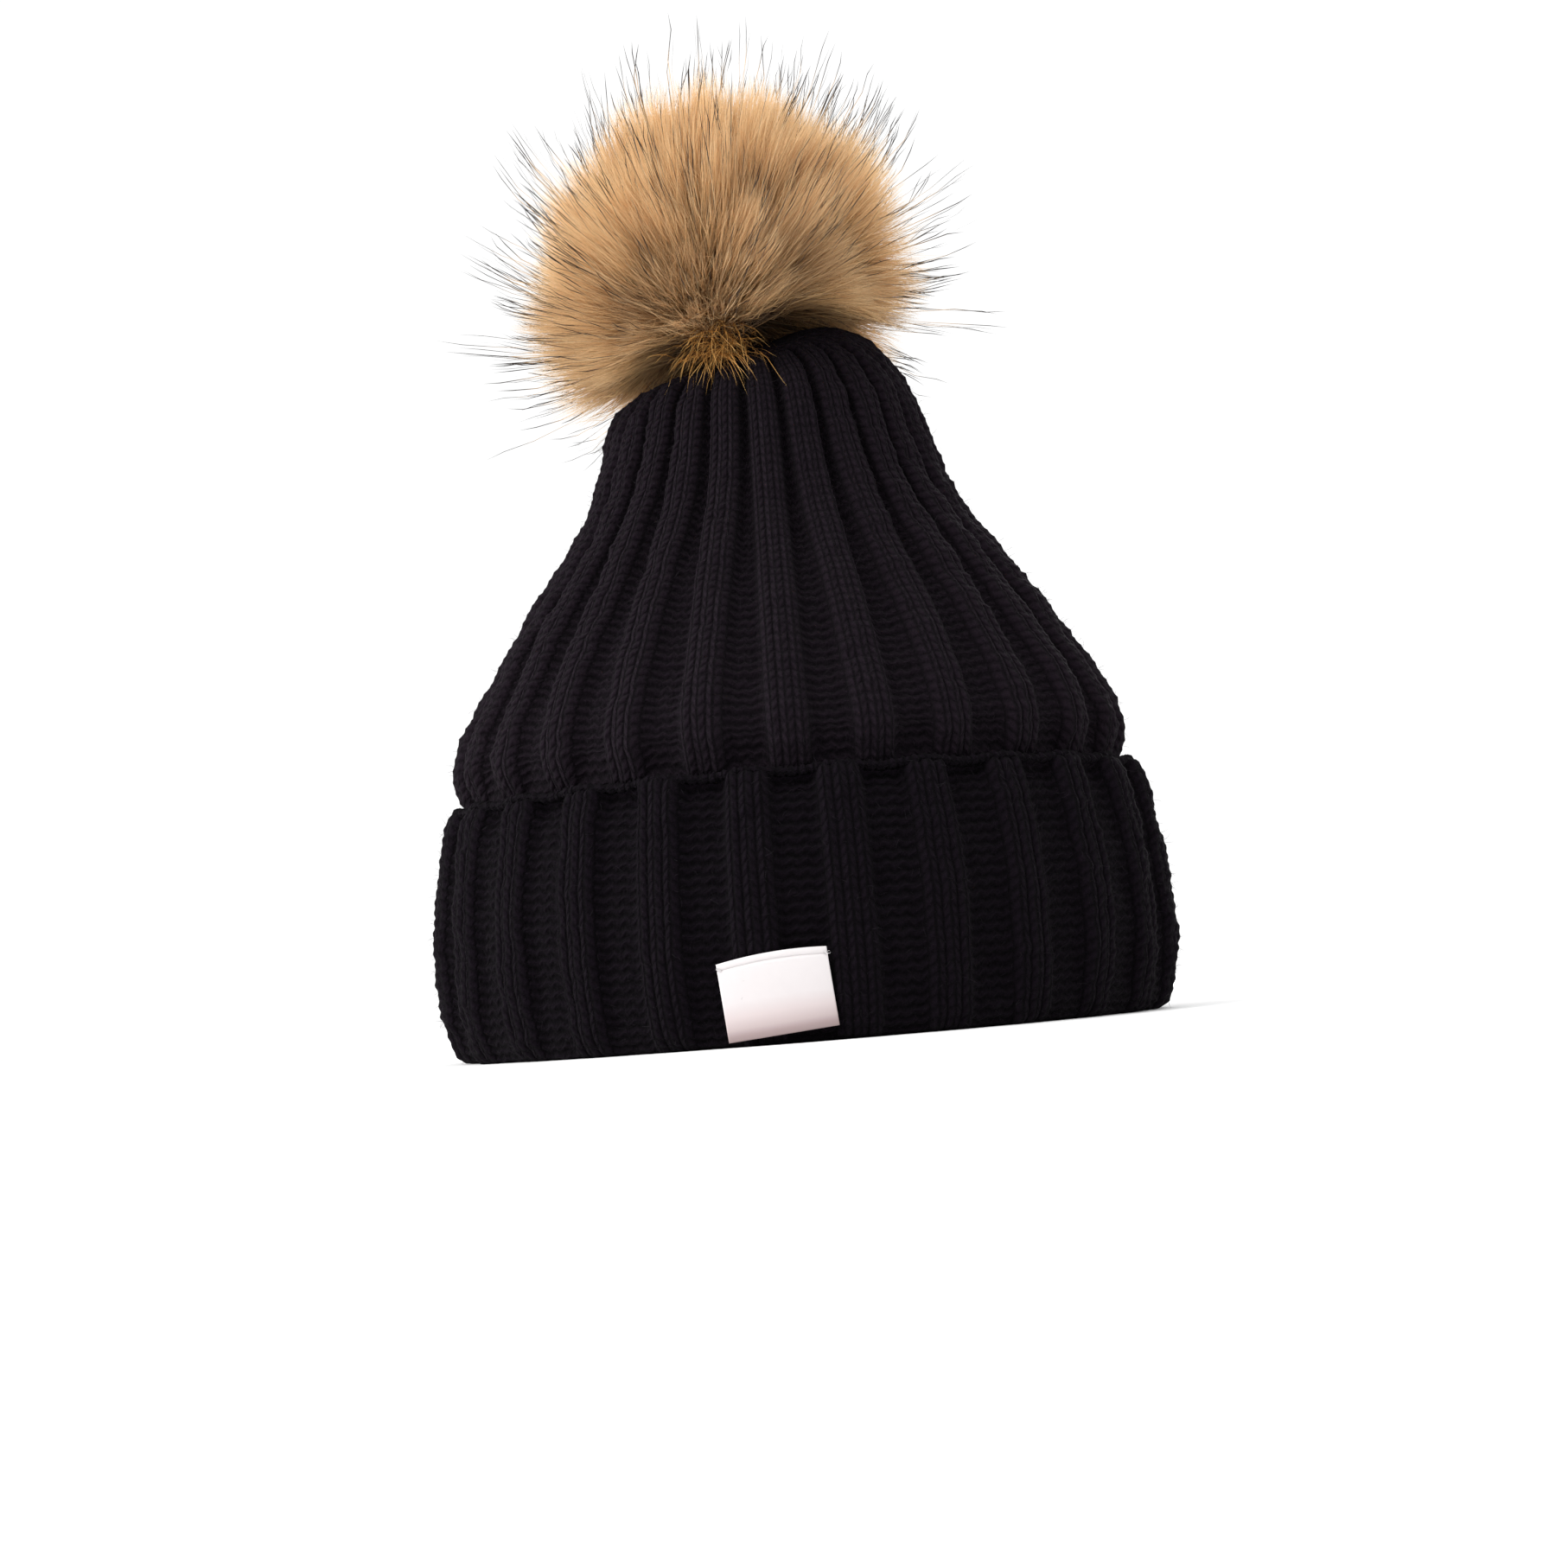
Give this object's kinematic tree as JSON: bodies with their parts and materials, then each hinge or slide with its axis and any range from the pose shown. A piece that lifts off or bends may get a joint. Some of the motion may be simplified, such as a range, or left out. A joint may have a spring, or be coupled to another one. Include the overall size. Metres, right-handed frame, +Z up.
{
  "type": "knit beanie with fur pompom",
  "caption": "Ribbed knit beanie with a turned-up cuff, a gathered crown, a fur pompom on top and a small bare sewn label, open below for the head.",
  "frame": {"origin": "on the surface the hat stands on, at the middle of its rim", "axes": "+Z up through the crown, -Y to the front where the label is, +X to the right as seen from the front"},
  "size_m": [0.2108, 0.226, 0.2756],
  "materials": {
    "black_knit": "chunky three by three rib knit in matt near-black acrylic yarn",
    "white_satin": "white woven satin ribbon folded double",
    "tan_fur": "long tan faux fur with a grey-brown undercoat and sparse near-black guard hairs"
  },
  "bodies": {
    "root": {"crown": "black_knit", "cuff": "black_knit", "label": "white_satin", "pompom": "tan_fur"}
  },
  "joints": []
}
